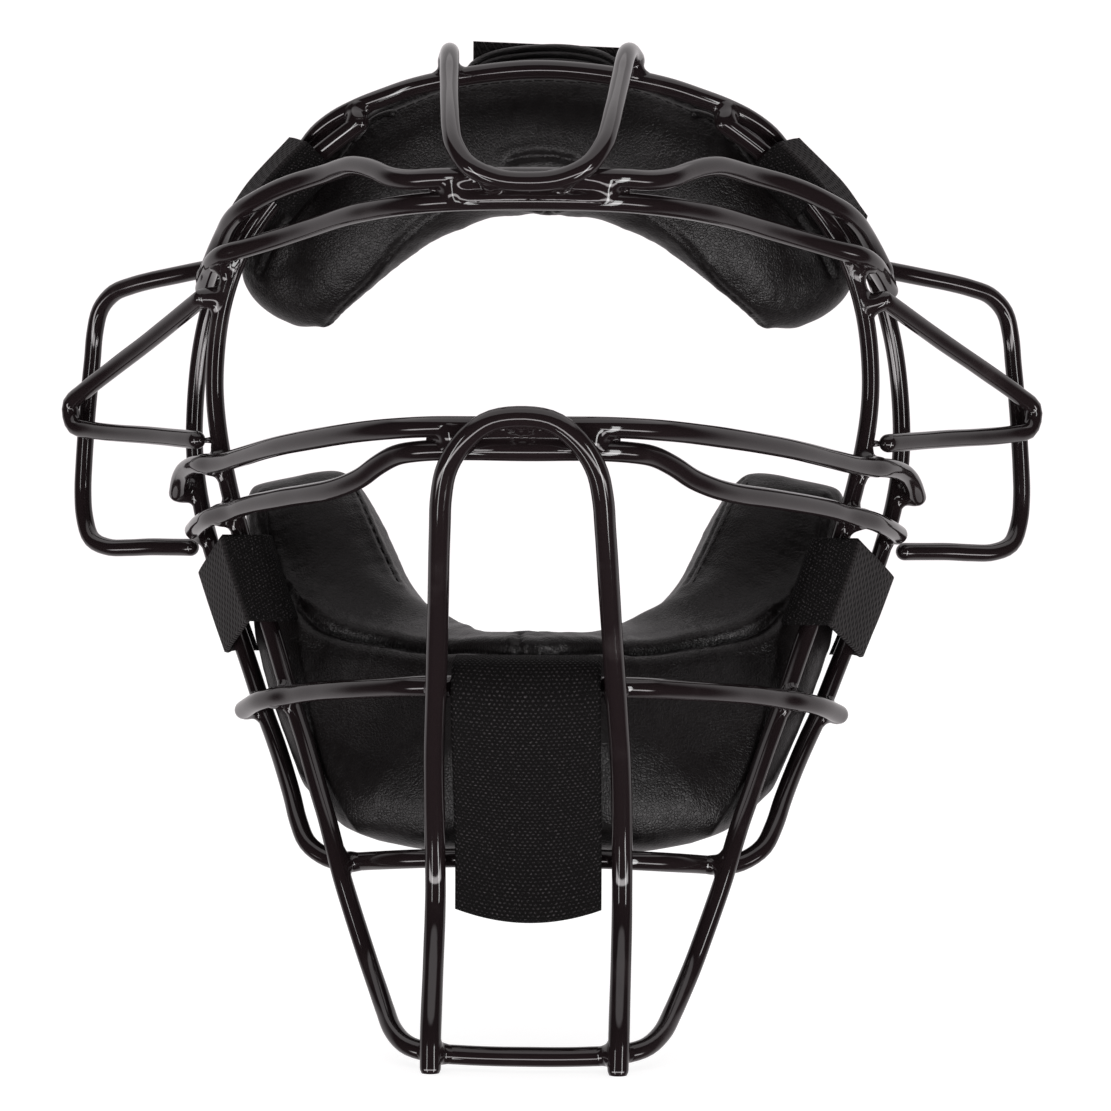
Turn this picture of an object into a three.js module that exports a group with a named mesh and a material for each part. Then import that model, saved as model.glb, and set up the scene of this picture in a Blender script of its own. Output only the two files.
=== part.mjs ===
// Umpire's and catcher's face mask: a cage of coated steel rods with an extended throat guard, a forehead
// pad and a U-shaped cheek and chin pad. Hook-and-loop straps wrap the rods and hold the pads.
// Millimetres, +Z up. The wearer looks along -Y, so the front of the cage is at -Y and the wearer's left
// side is at +X. The origin is on the plane of symmetry, at mid height, level in depth with the forehead
// arc of the perimeter ring.
import * as THREE from "three";

// ---------------------------------------------------------------- driving dimensions
const WIRE = 5.0;            // coated diameter of the ring, the side wire and the ear rods
const BAR = 5.2;             // coated diameter of the cross bars
const LOOP = 5.4;            // coated diameter of the nose loop
const ROD_SIDES = 8;         // sides of a rod's section, an even number
const ROD_STEP = 8;          // length of one straight piece of a bent rod
const RING_GAP = 0.4;        // butt joint of the ring, behind the chin flap

const WEB = 1.6;             // webbing thickness
const HOOK = 0.7;            // thickness of a hook strip or a loop leaf
const COVER = 1.8;           // thickness of a pad's cover
const CLEAR = 0.35;          // gap between pieces that touch

const FLAP_HALF_WIDTH = 18.8;    // chin flap, between the legs of the nose loop
const TONGUE_HALF_WIDTH = 17;
const TOP_TAB_HALF_WIDTH = 20.5;

// ---------------------------------------------------------------- rod centre lines, +X half
// Each list runs from the plane of symmetry outwards.
const RING_TOP_TO_CHIN = [
  [0, 0, 127.6], [30, 0.5, 124], [43, 4, 120.5], [54.5, 9, 116.5], [61.5, 14, 112.5], [67, 19, 107],
  [77, 27, 98.5], [86, 34.5, 88], [93, 41, 74], [98.3, 46, 56], [100.7, 49.5, 36], [100.5, 50, 22],
  [98, 48, 8], [91.5, 41, -12], [82.5, 30.5, -33.5], [76.8, 22, -47], [72, 13, -56.5], [67, 2, -67.5],
  [62.8, -7, -78], [59, -11, -83], [53, -14, -85.2], [44, -22, -84.6], [34, -32, -83.2],
  [22, -38, -82.2], [0, -40, -81.6],
];
const SIDE_WIRE = [
  [0, -60, -130.1], [18, -58, -130], [28.5, -54, -129.2], [34.5, -46.5, -125.6], [38, -38, -119.5],
  [42, -31, -111], [46.5, -27, -99], [50.5, -23.8, -87.5], [54, -19.5, -76], [58, -14, -65],
  [61.5, -9, -55], [66, -4, -43], [72, 2.5, -26], [77.7, 6.2, -11], [82, 9, 2], [86, 12, 16],
  [89.5, 14.3, 34], [90, 14.5, 48], [87.8, 14, 65], [82.5, 13.2, 80], [74, 11.3, 92.5],
  [65.5, 9.3, 101.5], [58.8, 7, 107], [49.5, 3.5, 113.4],
];
const UPPER_BROW_BAR = [
  [0, -66, 90.9], [20, -64.5, 90.9], [33, -57, 91.3], [39.5, -48, 94.3], [47, -35, 97.4],
  [57, -18, 97], [69, -5.7, 95], [77, 1.8, 92.3], [84, 10.8, 89.2], [89.3, 23.5, 84.4],
  [94.2, 34.3, 77.4],
];
const LOWER_BROW_BAR = [
  [0, -66, 85.2], [24, -61, 85.2], [44, -42, 84.6], [60, -19, 82.8], [71, -6, 81], [79.5, 1.5, 79.4],
  [88, 8.6, 77.7], [92.4, 21, 75.2], [96.3, 36.2, 71],
];
const CROWN_LOOP = [
  [0, -71.6, 89.2], [8, -71.6, 90], [14.5, -71, 93], [18.6, -67, 98.8], [20.4, -57, 107],
  [22, -39, 118], [23.2, -22, 127.6], [24.2, -8, 131], [25.4, 1.2, 130.6],
];
const UPPER_CHEEK_BAR = [
  [0, -92, 27.4], [18.5, -90, 27.5], [27, -86, 27.4], [40, -75, 26.8], [65, -39.5, 24.4],
  [80, -10.5, 22], [87, 3, 21], [92.6, 11.5, 20.8], [98, 25, 20.5], [102.6, 38, 18.3], [105.2, 48, 13.5],
];
const LOWER_CHEEK_BAR = [
  [0, -92, 21.7], [24, -86.3, 21.7], [33, -78, 20.4], [42, -67, 15.3], [49, -58, 12.9],
  [64, -34.5, 11], [77.5, -11, 9.2], [84, 1.5, 7.6], [89.3, 9, 6.6], [94.8, 23, 4.8], [99.6, 41.6, 2.8],
];
const NOSE_LOOP = [
  [0, -98, 29.6], [8.8, -98, 27.9], [14.8, -97, 22.6], [18.8, -94.3, 15.2], [20, -89.3, 5],
  [21.4, -76, -19], [22.9, -63, -43], [23.7, -55.5, -57], [24, -46, -78], [24, -43.3, -88],
  [24, -43.7, -94], [24, -46.5, -101], [23.8, -57.5, -119], [23.7, -61.9, -127.6], [23.6, -62.7, -132.6],
];
const CHIN_BAR = [
  [0, -60.4, -36.8], [22, -59.6, -36.8], [28, -57.2, -37], [47, -38.5, -38.7], [58, -23.5, -40],
  [66, -12, -41.5], [71.6, -5.8, -42.5], [77.2, 5.5, -44.3], [82.2, 20.5, -47],
];
const EAR_GUARD = [
  [95.6, 45.6, 77.6], [104, 52, 76.6], [119, 61, 74.3], [127.5, 67, 71.8], [132.5, 71.5, 66.2],
  [134.6, 74.5, 54], [136.8, 75.6, 30], [137.2, 75, 10], [134.6, 72, 1], [129, 67.8, -1.9],
  [115, 60, -1.9], [102, 51.5, -2],
];
const EAR_BRACE = [
  [93.6, 13, 66.5], [111.5, 37, 56.6], [124, 52.5, 49.9], [135, 64.5, 43.5], [139.8, 69.2, 40],
  [141, 70.4, 36.8], [139, 68.6, 33.6], [132, 62, 31.8], [111, 37, 29.5], [94.9, 14, 27.5],
];

// ---------------------------------------------------------------- pads
// A station of a pad: [edge A x, z, edge B x, z, front y, back y]. The section spans from A to B.
const FOREHEAD_STATIONS = [
  [0, 90, 0, 134, 5.6, 31], [20, 87, 19.5, 131.4, 6, 32], [36, 78.5, 34, 127, 9, 34.5],
  [49, 69, 50, 120.5, 14, 39], [59, 61.5, 64, 112.5, 21, 45], [67, 58.5, 77.5, 100, 29, 51],
  [77, 62.5, 86, 87.5, 35.5, 56], [85.5, 69.5, 88.5, 79, 42, 58],
];
const CHEEK_STATIONS = [
  [0, -22.5, 0, -83, -35.5, -4], [9, -22.5, 42, -81.5, -29, 8], [17, -22, 62.5, -70, -15, 28],
  [27, -19.5, 77, -38, 2, 46], [36.5, -12.5, 83, -18, 14, 58], [43, 0, 84, -4, 21, 62],
  [50, 13.5, 86, 8, 25, 62], [57, 21.5, 86, 15.5, 34, 55],
];

// ---------------------------------------------------------------- straps
// Straps that lie square to the plane of symmetry, as (y, z) profiles of their middle.
const CHIN_FLAP_PROFILE = [
  [-47, -30], [-56, -30], [-63, -32], [-66.2, -37], [-65.8, -43], [-60.5, -54], [-53, -67],
  [-47.5, -78], [-46, -85], [-45.6, -92], [-45.6, -98],
];
const CHIN_HOOKS_Z = [-87, -94.5];
const CHIN_HOOKS_HALF_WIDTH = 15;
const CHIN_FLAP_CORNER = 3.5;    // how far the corners of its free end are drawn back
const TONGUE_PROFILE = [
  [-27, -85.5], [-32, -86.4], [-38, -87], [-41.2, -88.6], [-41.9, -92], [-41.9, -96],
];
const TOP_TAB_PROFILE = [[33.2, 112], [33.2, 126], [33.2, 139.4]];

// Straps that wrap the ring and the side wire. Each level gives a height on both, and each section is a list
// of [outward, forward] offsets from a rod's centre, with outward a direction in the x-z plane.
const CHEEK_STRAP = {
  outward: [1, 0],
  levels: [{ ring: -4, wire: 1.5 }, { ring: -18, wire: -10 }, { ring: -31, wire: -22 }],
  roundRing: [[-3.5, -4.5], [0, -4.5], [3.5, -3.3], [4.6, 0.3]],
  ridge: [4.6, 3.2],
  flap: [[4.4, 4.9], [0, 5.6], [-4.6, 5.6], [-7, 3.6], [-7.2, -5]],
  hooks: [[-5.55, 1.5], [-5.55, -4.6]],
  leaf: [[-3.95, 1.5], [-3.95, -8]],
};
const TEMPLE_STRAP = {
  outward: [Math.SQRT1_2, Math.SQRT1_2],
  levels: [{ ring: 108, wire: 105.5 }, { ring: 98, wire: 98.5 }, { ring: 88, wire: 92 }],
  roundRing: [[0.5, -4.8], [3.6, -3], [4.6, 0.3]],
  ridge: [4.4, 1.6],
  flap: [[3.9, 3.4], [0, 4.4], [-3.4, 3.9], [-5.3, 2.2], [-5.5, -6]],
  hooks: [[-4.1, 0.3], [-4.1, -5.5]],
  leaf: [[-3.1, 0.3], [-3.1, -8]],
};

// ---------------------------------------------------------------- materials
function coating(color, roughness, metalness) {
  return new THREE.MeshStandardMaterial({ color, roughness, metalness });
}
const makeRodCoat = () => coating(0x15120f, 0.25, 0.0);
const makeLeather = () => coating(0x1b1918, 0.55, 0.0);
const makeLining = () => coating(0x242223, 0.8, 0.0);
const makeFoam = () => coating(0x3a3a3c, 0.95, 0.0);
const makeWebbing = () => coating(0x1c1a1c, 0.85, 0.0);
const makeHooks = () => coating(0x101010, 0.9, 0.0);

// ---------------------------------------------------------------- helpers
const mask = new THREE.Group();

function addPart(name, geometry, material) {
  const mesh = new THREE.Mesh(geometry, material);
  mesh.name = name;
  mask.add(mesh);
  return mesh;
}

const vector = ([x, y, z]) => new THREE.Vector3(x, y, z);
const mirrorPoint = ([x, y, z]) => [-x, y, z];
const mirrored = (points) => points.map(mirrorPoint);

// The whole path of a symmetric rod, from its +X end to its -X end.
function bothHalves(half) {
  return [...half.slice().reverse(), ...mirrored(half).slice(1)];
}

function smoothPath(points) {
  return new THREE.CatmullRomCurve3(points.map(vector), false, "centripetal");
}

function rodGeometry(points, diameter) {
  const path = smoothPath(points);
  const section = new THREE.Shape();
  section.absarc(0, 0, diameter / 2, 0, Math.PI * 2);
  const steps = Math.ceil(path.getLength() / ROD_STEP);
  const sides = { curveSegments: ROD_SIDES / 2, bevelEnabled: false };
  return new THREE.ExtrudeGeometry(section, { steps, extrudePath: path, ...sides });
}

// The point of a rod's centre line at a height, on the part of it that runs down the side of the face.
const SIDE_PART_X = 50;
function pointAtHeight(points, height) {
  for (let i = 1; i < points.length; i += 1) {
    const low = points[i - 1];
    const high = points[i];
    const share = (height - low[2]) / (high[2] - low[2]);
    if (share >= 0 && share <= 1 && Math.min(low[0], high[0]) > SIDE_PART_X) {
      return low.map((value, axis) => value + share * (high[axis] - value));
    }
  }
  throw new Error(`the rod has no point at height ${height}`);
}

// A closed solid from a grid of points: grid[i][j] runs along i, and round or across along j.
// A row that is closed joins its last point to its first. Flat caps close the two ends.
function loftGeometry(rows) {
  const count = rows[0].length;
  const points = rows.flat();
  const indices = [];
  for (let i = 0; i + 1 < rows.length; i += 1) {
    for (let j = 0; j < count; j += 1) {
      const a = i * count + j;
      const b = i * count + ((j + 1) % count);
      const corners = [a, b, b + count, a + count];
      const [p, q, r, s] = corners.map((corner) => vector(points[corner]));
      if (p.distanceTo(r) < q.distanceTo(s)) {
        indices.push(a, b, b + count, a, b + count, a + count);
      } else {
        indices.push(a, b, a + count, b, b + count, a + count);
      }
    }
  }
  const shift = (rows.length - 1) * count;
  for (let j = 1; j + 1 < count; j += 1) {
    const mirrorJ = count - 1 - j;
    const [near, far] = j <= mirrorJ ? [j, mirrorJ] : [0, 0];
    if (near < far) {
      const quad = [near - 1, near, far, (far + 1) % count];
      indices.push(quad[0], quad[2], quad[1], quad[0], quad[3], quad[2]);
      indices.push(shift + quad[0], shift + quad[1], shift + quad[2]);
      indices.push(shift + quad[0], shift + quad[2], shift + quad[3]);
    }
  }
  const geometry = new THREE.BufferGeometry();
  geometry.setAttribute("position", new THREE.Float32BufferAttribute(points.flat(), 3));
  geometry.setIndex(indices);
  return geometry;
}

// Turn a solid the right way out, whichever way its rows ran.
function facingOut(geometry) {
  const position = geometry.getAttribute("position");
  const index = geometry.getIndex();
  const a = new THREE.Vector3();
  const b = new THREE.Vector3();
  const c = new THREE.Vector3();
  let volume = 0;
  for (let i = 0; i < index.count; i += 3) {
    a.fromBufferAttribute(position, index.getX(i));
    b.fromBufferAttribute(position, index.getX(i + 1));
    c.fromBufferAttribute(position, index.getX(i + 2));
    volume += a.dot(b.cross(c));
  }
  if (volume < 0) {
    const array = index.array;
    for (let i = 0; i < array.length; i += 3) {
      [array[i], array[i + 1]] = [array[i + 1], array[i]];
    }
  }
  geometry.computeVertexNormals();
  return geometry;
}

// Webbing: rows of centre points (at least two rows of at least two points) given a thickness.
function webbingGeometry(rows, thickness) {
  const last = rows[0].length - 1;
  const within = (value, top) => Math.min(Math.max(value, 0), top);
  const at = (i, j) => vector(rows[within(i, rows.length - 1)][within(j, last)]);
  const sections = rows.map((row, i) => {
    const front = [];
    const back = [];
    row.forEach((point, j) => {
      const across = at(i, j + 1).sub(at(i, j - 1));
      const along = at(i + 1, j).sub(at(i - 1, j));
      const normal = across.cross(along).normalize().multiplyScalar(thickness / 2);
      front.push(vector(point).add(normal).toArray());
      back.push(vector(point).sub(normal).toArray());
    });
    return [...front, ...back.reverse()];
  });
  return facingOut(loftGeometry(sections));
}

// A strap section's points about a rod: outward is a unit vector in the x-z plane, forward is -Y.
function aroundRod(centre, outward, offsets) {
  return offsets.map(([out, forward]) => [
    centre[0] + outward[0] * out, centre[1] - forward, centre[2] + outward[1] * out,
  ]);
}

// ---------------------------------------------------------------- pads
const PAD_STATIONS = 21;     // sections from one end of a pad to the other
const ARC_POINTS = 7;        // points round half a section
const SQUARENESS = 2.7;      // 2 is an ellipse, more is squarer
const END_FILL = 0.9;        // share of the last section that its cover fills
const FOAM_END_BACK = 0.15;  // share of a station by which the foam stops short of its cover's end

// Sections along a pad, each with its middle, its half extent from A to B, and its half thickness.
function padSections(stations) {
  const whole = [...stations.slice().reverse().map(([ax, az, bx, bz, front, back]) =>
    [-ax, az, -bx, bz, front, back]), ...stations.slice(1)];
  const curveOf = (pick) => smoothPath(whole.map(pick));
  const edgeA = curveOf((s) => [s[0], s[4], s[1]]);
  const edgeB = curveOf((s) => [s[2], s[5], s[3]]);
  return Array.from({ length: PAD_STATIONS }, (_, i) => {
    const t = i / (PAD_STATIONS - 1);
    const a = edgeA.getPoint(t);
    const b = edgeB.getPoint(t);
    return {
      middle: new THREE.Vector3((a.x + b.x) / 2, (a.y + b.y) / 2, (a.z + b.z) / 2),
      half: new THREE.Vector3((b.x - a.x) / 2, 0, (b.z - a.z) / 2),
      depth: (b.y - a.y) / 2,
      end: Math.min(t, 1 - t) * (PAD_STATIONS - 1),
    };
  });
}

// One point of a section: angle 0 is edge B, pi / 2 is the front and pi is edge A. inset moves it inwards.
function sectionPoint(section, angle, inset, shift) {
  const power = 2 / SQUARENESS;
  const cos = Math.sign(Math.cos(angle)) * Math.abs(Math.cos(angle)) ** power;
  const sin = Math.sign(Math.sin(angle)) * Math.abs(Math.sin(angle)) ** power;
  const reach = section.half.length();
  const point = section.middle.clone().addScaledVector(section.half, cos * (reach - inset) / reach);
  point.y -= sin * (section.depth - inset) + shift;
  return point.toArray();
}

function halfTurn(start) {
  return Array.from({ length: ARC_POINTS }, (_, i) => start + (Math.PI * i) / (ARC_POINTS - 1));
}

// A cover panel is half a shell: side 1 is the front half and side -1 the back half. It is closed at both
// ends, where the hollow inside it shrinks to nothing.
function coverGeometry(stations, side) {
  const shift = (side * CLEAR) / 2;
  const angles = halfTurn(side > 0 ? 0 : Math.PI);
  const rows = padSections(stations).map((section) => {
    const hollow = section.end >= 1;
    const inset = hollow ? COVER : Math.min(section.depth, section.half.length()) * END_FILL;
    const outer = angles.map((angle) => sectionPoint(section, angle, 0, shift));
    const inner = angles.map((angle) => sectionPoint(section, angle, inset, shift));
    return [...outer, ...inner.reverse()];
  });
  return facingOut(loftGeometry(rows));
}

function foamGeometry(stations) {
  const angles = [...halfTurn(0), ...halfTurn(Math.PI).slice(1, -1)];
  const rows = padSections(stations)
    .filter((section) => section.end >= 1)
    .map((section) => angles.map((angle) => sectionPoint(section, angle, COVER + 2 * CLEAR, 0)));
  rows[0] = shrunk(rows[0], rows[1]);
  rows[rows.length - 1] = shrunk(rows[rows.length - 1], rows[rows.length - 2]);
  return facingOut(loftGeometry(rows));
}

// The last row of the foam, drawn back from the closed end of its cover.
function shrunk(row, next) {
  return row.map((point, i) => point.map((value, axis) =>
    value + FOAM_END_BACK * (next[i][axis] - value)));
}

function addPad(name, stations) {
  addPart(`${name}_face`, coverGeometry(stations, 1), makeLeather());
  addPart(`${name}_lining`, coverGeometry(stations, -1), makeLining());
  addPart(`${name}_foam`, foamGeometry(stations), makeFoam());
}

// ---------------------------------------------------------------- the cage
const ringHalf = RING_TOP_TO_CHIN.slice(0, -1);
const ringEnd = [RING_GAP / 2, ...RING_TOP_TO_CHIN.at(-1).slice(1)];
addPart("perimeter_ring", rodGeometry(
  [ringEnd, ...ringHalf.slice().reverse(), ...mirrored(ringHalf).slice(1), mirrorPoint(ringEnd)], WIRE,
), makeRodCoat());
addPart("throat_wire", rodGeometry(bothHalves(SIDE_WIRE), WIRE), makeRodCoat());
addPart("upper_brow_bar", rodGeometry(bothHalves(UPPER_BROW_BAR), BAR), makeRodCoat());
addPart("lower_brow_bar", rodGeometry(bothHalves(LOWER_BROW_BAR), BAR), makeRodCoat());
addPart("crown_loop", rodGeometry(bothHalves(CROWN_LOOP), WIRE), makeRodCoat());
addPart("upper_cheek_bar", rodGeometry(bothHalves(UPPER_CHEEK_BAR), BAR), makeRodCoat());
addPart("lower_cheek_bar", rodGeometry(bothHalves(LOWER_CHEEK_BAR), BAR), makeRodCoat());
addPart("nose_loop", rodGeometry(bothHalves(NOSE_LOOP), LOOP), makeRodCoat());
addPart("chin_bar", rodGeometry(bothHalves(CHIN_BAR), BAR), makeRodCoat());
for (const [side, place] of [["left", (points) => points], ["right", mirrored]]) {
  addPart(`ear_guard_${side}`, rodGeometry(place(EAR_GUARD), WIRE), makeRodCoat());
  addPart(`ear_brace_${side}`, rodGeometry(place(EAR_BRACE), WIRE), makeRodCoat());
}

// ---------------------------------------------------------------- the pads
addPad("forehead_pad", FOREHEAD_STATIONS);
addPad("cheek_pad", CHEEK_STATIONS);

// ---------------------------------------------------------------- cheek and temple straps
// A strap goes round the back and the outside of the ring and comes forward to a ridge just outside the side
// wire. Its flap carries on from the ridge, over the side wire and back along its inside, where a hook strip
// holds it to the loop leaf that stands on the pad.
function addStrapSet(place, side, sizes, mirror) {
  const rows = (section) => sizes.levels.map((level) => mirror(section(
    pointAtHeight(RING_TOP_TO_CHIN, level.ring), pointAtHeight(SIDE_WIRE, level.wire),
  )));
  const onWire = (offsets) => rows((_, wire) => aroundRod(wire, sizes.outward, offsets));
  const strap = rows((ring, wire) => [
    ...aroundRod(ring, sizes.outward, sizes.roundRing),
    ...aroundRod(wire, sizes.outward, [sizes.ridge]),
  ]);
  addPart(`${place}_strap_${side}`, webbingGeometry(strap, WEB), makeWebbing());
  addPart(`${place}_flap_${side}`, webbingGeometry(onWire(sizes.flap), WEB), makeWebbing());
  addPart(`${place}_hooks_${side}`, webbingGeometry(onWire(sizes.hooks), HOOK), makeHooks());
  addPart(`${place}_leaf_${side}`, webbingGeometry(onWire(sizes.leaf), HOOK), makeWebbing());
}

for (const [side, mirror] of [["left", (points) => points], ["right", mirrored]]) {
  addStrapSet("cheek", side, CHEEK_STRAP, mirror);
  addStrapSet("temple", side, TEMPLE_STRAP, mirror);
}

// ---------------------------------------------------------------- chin closure and top tab
// Rows across a strap that lies square to the plane of symmetry, at fractions of its half width.
const ACROSS = [-1, -0.6, 0, 0.6, 1];

function straightRows(profile, halfWidth) {
  return ACROSS.map((share) => profile.map(([y, z]) => [share * halfWidth, y, z]));
}

// The same with a rounded free end: the corners of the last stretch are drawn back.
function roundEndedRows(profile, halfWidth, corner) {
  return ACROSS.map((share) => profile.map(([y, z], i) => {
    const last = i === profile.length - 1;
    return [share * halfWidth, y, last ? z + corner * share ** 2 : z];
  }));
}

const chinFlapRows = roundEndedRows(CHIN_FLAP_PROFILE, FLAP_HALF_WIDTH, CHIN_FLAP_CORNER);
addPart("chin_flap", webbingGeometry(chinFlapRows, WEB), makeWebbing());
const flapBack = CHIN_FLAP_PROFILE.at(-2)[0] + WEB / 2 + CLEAR + HOOK / 2;
const chinHooksRows = straightRows(CHIN_HOOKS_Z.map((z) => [flapBack, z]), CHIN_HOOKS_HALF_WIDTH);
addPart("chin_hooks", webbingGeometry(chinHooksRows, HOOK), makeHooks());
const tongueRows = straightRows(TONGUE_PROFILE, TONGUE_HALF_WIDTH);
addPart("chin_tongue", webbingGeometry(tongueRows, WEB), makeWebbing());
const tabRows = straightRows(TOP_TAB_PROFILE, TOP_TAB_HALF_WIDTH);
addPart("top_tab", webbingGeometry(tabRows, WEB), makeWebbing());

export default mask;
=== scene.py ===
# Catcher's face mask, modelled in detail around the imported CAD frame. Metres, +Z up, front at -Y.
# Rods and pads start from their CAD nodes, the side straps from the CAD rods that they wrap, and the level
# straps take their widths from their CAD nodes. Profiles and seams are given in the CAD's coordinates.
import math
from random import Random

import bmesh
import bpy
import numpy as np
from mathutils import Matrix, Vector, noise
from mathutils.bvhtree import BVHTree
from mathutils.kdtree import KDTree


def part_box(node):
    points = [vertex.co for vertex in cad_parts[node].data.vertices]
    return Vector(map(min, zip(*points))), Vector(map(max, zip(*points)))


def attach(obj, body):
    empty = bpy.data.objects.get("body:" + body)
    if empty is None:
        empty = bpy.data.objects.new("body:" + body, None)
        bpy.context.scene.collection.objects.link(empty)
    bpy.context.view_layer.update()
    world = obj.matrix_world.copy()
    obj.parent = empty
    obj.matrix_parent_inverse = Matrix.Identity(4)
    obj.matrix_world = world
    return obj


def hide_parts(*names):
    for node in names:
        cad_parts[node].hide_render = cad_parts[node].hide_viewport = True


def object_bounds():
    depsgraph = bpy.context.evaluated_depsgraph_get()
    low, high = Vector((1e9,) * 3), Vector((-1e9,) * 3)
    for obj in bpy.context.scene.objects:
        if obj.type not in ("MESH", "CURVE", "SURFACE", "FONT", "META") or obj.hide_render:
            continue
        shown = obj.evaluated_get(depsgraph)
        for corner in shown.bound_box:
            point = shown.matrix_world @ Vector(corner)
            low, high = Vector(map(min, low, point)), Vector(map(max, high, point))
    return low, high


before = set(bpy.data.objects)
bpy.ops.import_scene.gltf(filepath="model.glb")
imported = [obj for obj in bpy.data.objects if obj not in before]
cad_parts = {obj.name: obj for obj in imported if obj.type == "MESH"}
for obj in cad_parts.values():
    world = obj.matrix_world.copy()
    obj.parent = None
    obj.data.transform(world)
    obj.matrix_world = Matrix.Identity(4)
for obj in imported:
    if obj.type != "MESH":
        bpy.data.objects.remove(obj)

CAD_BOX = [list(corner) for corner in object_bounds()]
MM = 0.001

# ------------------------------------------------------------------ sizes
ROD_SIDES = 8                 # corners of a CAD rod's section
ROUND_SIDES = 22              # corners of a finished rod's section
ROD_STEP = 2.0 * MM
ROD_LUMPS = 0.03              # how far a rod's coating varies, as a share of its radius
LUMP_SCALE = 70               # lumps per metre
CAP_ANGLES = (78, 56, 34, 14)  # rings of a rod's rounded end, in degrees
CURVE_STEPS = 10              # points of a curve between two given ones
SAME_PLACE = 1e-6
WEB = 1.6 * MM                # webbing thickness
HOOK = 0.7 * MM               # thickness of hook strips and loop leaves
LEFT_RIGHT = (("left", 1), ("right", -1))

RODS = (
    "perimeter_ring", "throat_wire", "upper_brow_bar", "lower_brow_bar", "crown_loop",
    "upper_cheek_bar", "lower_cheek_bar", "nose_loop", "chin_bar",
    "ear_guard_left", "ear_guard_right", "ear_brace_left", "ear_brace_right",
)


# ------------------------------------------------------------------ curves
def unit(v):
    return v / np.linalg.norm(v, axis=-1, keepdims=True)


def resampled(points, step=None, count=None):
    """Even points on a smooth curve through the given ones."""
    points = np.array(points, float)
    ends = np.vstack([2 * points[0] - points[1], points, 2 * points[-1] - points[-2]])
    t = np.linspace(0, 1, CURVE_STEPS, endpoint=False)[:, None]
    fine = []
    for i in range(1, len(ends) - 2):
        a, b, c, d = ends[i - 1:i + 3]
        fine.append(0.5 * (2 * b + (c - a) * t + (2 * a - 5 * b + 4 * c - d) * t**2
                           + (3 * b - a - 3 * c + d) * t**3))
    fine = np.vstack(fine + [points[-1:]])
    along = np.r_[0, np.cumsum(np.linalg.norm(np.diff(fine, axis=0), axis=1))]
    if count is None:
        count = max(2, round(along[-1] / step) + 1)
    at = np.linspace(0, along[-1], count)
    return np.column_stack([np.interp(at, along, fine[:, k]) for k in range(points.shape[1])])


def rod_line(node):
    """The centre line and radius of a CAD rod: the middles of its sections, from one end to the other."""
    bm = bmesh.new()
    bm.from_mesh(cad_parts[node].data)
    bmesh.ops.remove_doubles(bm, verts=bm.verts, dist=SAME_PLACE)

    def spread_from(ring):
        rings = [ring]
        seen = set(ring)
        while ring:
            ring = {e.other_vert(v) for v in ring for e in v.link_edges} - seen
            seen |= ring
            if ring:
                rings.append(ring)
        return rings

    bm.verts.ensure_lookup_table()
    tip = min(spread_from({bm.verts[0]})[-1], key=lambda v: tuple(v.co))
    near_tip = set().union(*spread_from({tip})[:ROD_SIDES // 2 + 1])
    cap = sorted(near_tip, key=lambda v: (v.co - tip.co).length)[:ROD_SIDES]
    rings = spread_from(set(cap))
    centres = [sum((v.co for v in ring), Vector()) / len(ring) for ring in rings]
    radius = np.mean([(v.co - centres[0]).length for v in rings[0]])
    bm.free()
    if centres[0].x < centres[-1].x:
        centres.reverse()
    return np.array([tuple(c) for c in centres]), float(radius)


ROD_LINES = {}
ROD_RADIUS = {}
for rod in RODS:
    coarse, ROD_RADIUS[rod] = rod_line(rod)
    ROD_LINES[rod] = resampled(coarse, step=ROD_STEP)


# ------------------------------------------------------------------ meshes
def add_mesh(name, verts, faces, uvs=None):
    mesh = bpy.data.meshes.new(name)
    mesh.from_pydata([tuple(v) for v in verts], [], [tuple(f) for f in faces])
    if uvs is not None:
        layer = mesh.uv_layers.new(name="UVMap")
        for loop in mesh.loops:
            layer.data[loop.index].uv = uvs[loop.vertex_index]
    mesh.shade_smooth()
    piece = bpy.data.objects.new(name, mesh)
    bpy.context.scene.collection.objects.link(piece)
    return piece


def coords_of(mesh):
    co = np.empty(len(mesh.vertices) * 3)
    mesh.vertices.foreach_get("co", co)
    return co.reshape(-1, 3)


def set_coords(mesh, co):
    mesh.vertices.foreach_set("co", np.asarray(co, float).ravel())
    mesh.update()


def normals_of(mesh):
    n = np.empty(len(mesh.vertices) * 3)
    mesh.vertex_normals.foreach_get("vector", n)
    return n.reshape(-1, 3)


def applied(piece):
    """Puts the result of a piece's modifiers in its mesh."""
    bpy.context.view_layer.update()
    shaped = piece.evaluated_get(bpy.context.evaluated_depsgraph_get())
    mesh = bpy.data.meshes.new_from_object(shaped)
    piece.modifiers.clear()
    piece.data = mesh
    mesh.shade_smooth()
    return piece


def voxel_remeshed(piece, size):
    remesh = piece.modifiers.new("Remesh", "REMESH")
    remesh.mode = "VOXEL"
    remesh.voxel_size = size
    return applied(piece)


def finished(piece, material, slot_name, body, *nodes):
    """The facts that every piece needs: its material, its body and what it stands for. slot_name is not used.
    """
    piece.data.materials.clear()
    piece.data.materials.append(material)
    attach(piece, body)
    if nodes:
        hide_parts(*nodes)
    return piece


def grid_faces(rows, columns, wrap=False, start=0):
    faces = []
    for i in range(rows - 1):
        for j in range(columns if wrap else columns - 1):
            k = (j + 1) % columns
            a = start + i * columns
            faces.append((a + j, a + k, a + columns + k, a + columns + j))
    return faces


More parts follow.
